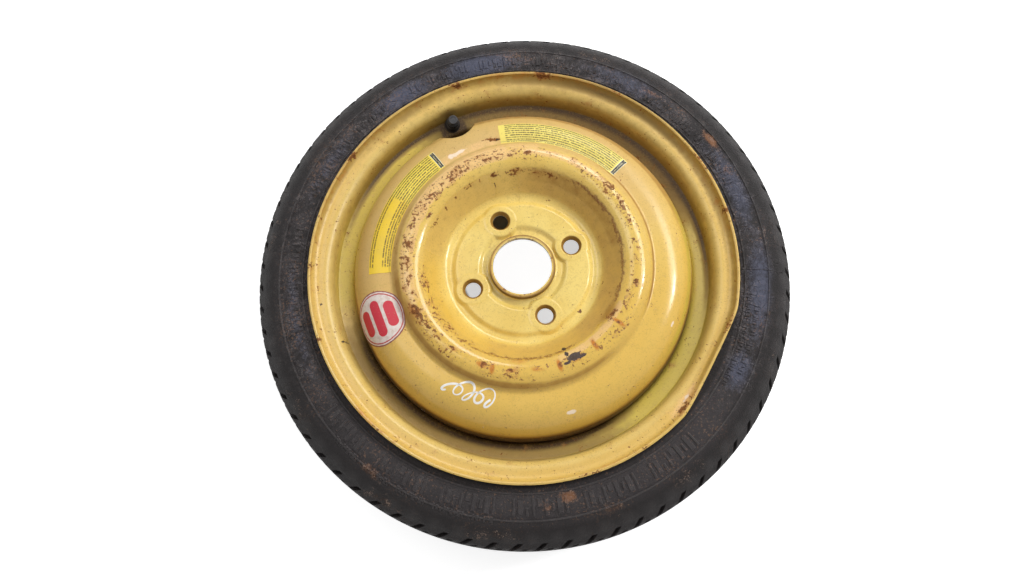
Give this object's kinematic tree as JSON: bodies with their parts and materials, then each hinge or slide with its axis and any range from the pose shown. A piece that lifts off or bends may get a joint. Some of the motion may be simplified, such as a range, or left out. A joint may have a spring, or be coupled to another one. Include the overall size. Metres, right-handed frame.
{
  "type": "spare wheel",
  "caption": "Narrow temporary spare wheel: a dished pressed-steel disc welded in a steel rim, with its tyre and capped valve.",
  "frame": {"origin": "on the wheel's axis, in the plane of the disc that bolts against the hub", "axes": "+Z along the wheel's axis to the street side, +X to the right of the wheel as it lies with its street side up"},
  "size_m": [0.501, 0.501, 0.1314],
  "materials": {
    "tyre_rubber": "matte, weathered",
    "wheel_paint": "semi-gloss ochre yellow, worn",
    "weld_paint": "rough, painted over",
    "black_rubber": "matte",
    "valve_brass": "turned",
    "white_seal": "matte",
    "spring_steel": "drawn wire",
    "cap_plastic": "moulded",
    "label_yellow": "printed film",
    "sticker_white": "printed film"
  },
  "bodies": {
    "wheel": {"tyre": "tyre_rubber", "rim": "wheel_paint", "wheel_disc": "wheel_paint", "weld_beads": "weld_paint", "valve_grommet": "black_rubber", "valve_stem": "valve_brass", "core_plug": "valve_brass", "core_barrel": "valve_brass", "core_gasket": "white_seal", "core_spring": "spring_steel", "top_label": "label_yellow", "left_label": "label_yellow", "round_sticker": "sticker_white"},
    "pin": {"core_pin": "valve_brass", "core_cup": "valve_brass", "cup_gasket": "black_rubber"},
    "seal": {"cap_seal": "black_rubber"},
    "cap": {"valve_cap": "cap_plastic"}
  },
  "joints": [
    {"name": "pin_press", "type": "slide", "parent": "wheel", "child": "pin", "axis": [-0.1267, 0.2999, -0.9455], "range_m": [0, 0.0012], "stiffness_N_per_m": 600, "springref_m": -0.002, "deforming": ["core_spring"]},
    {"name": "cap_lift", "type": "slide", "parent": "wheel", "child": "seal", "axis": [0.1267, -0.2999, 0.9455], "range_m": [0, 0.00953]},
    {"name": "cap_turn", "type": "hinge", "parent": "seal", "child": "cap", "pos_m": [-0.06244, 0.14781, 0.01559], "axis": [0.1267, -0.2999, 0.9455], "range_deg": [0, 4320]}
  ],
  "couplings": [
    {"joint": "cap_turn", "follows": "cap_lift", "rad_per_m": 7913.3}
  ]
}
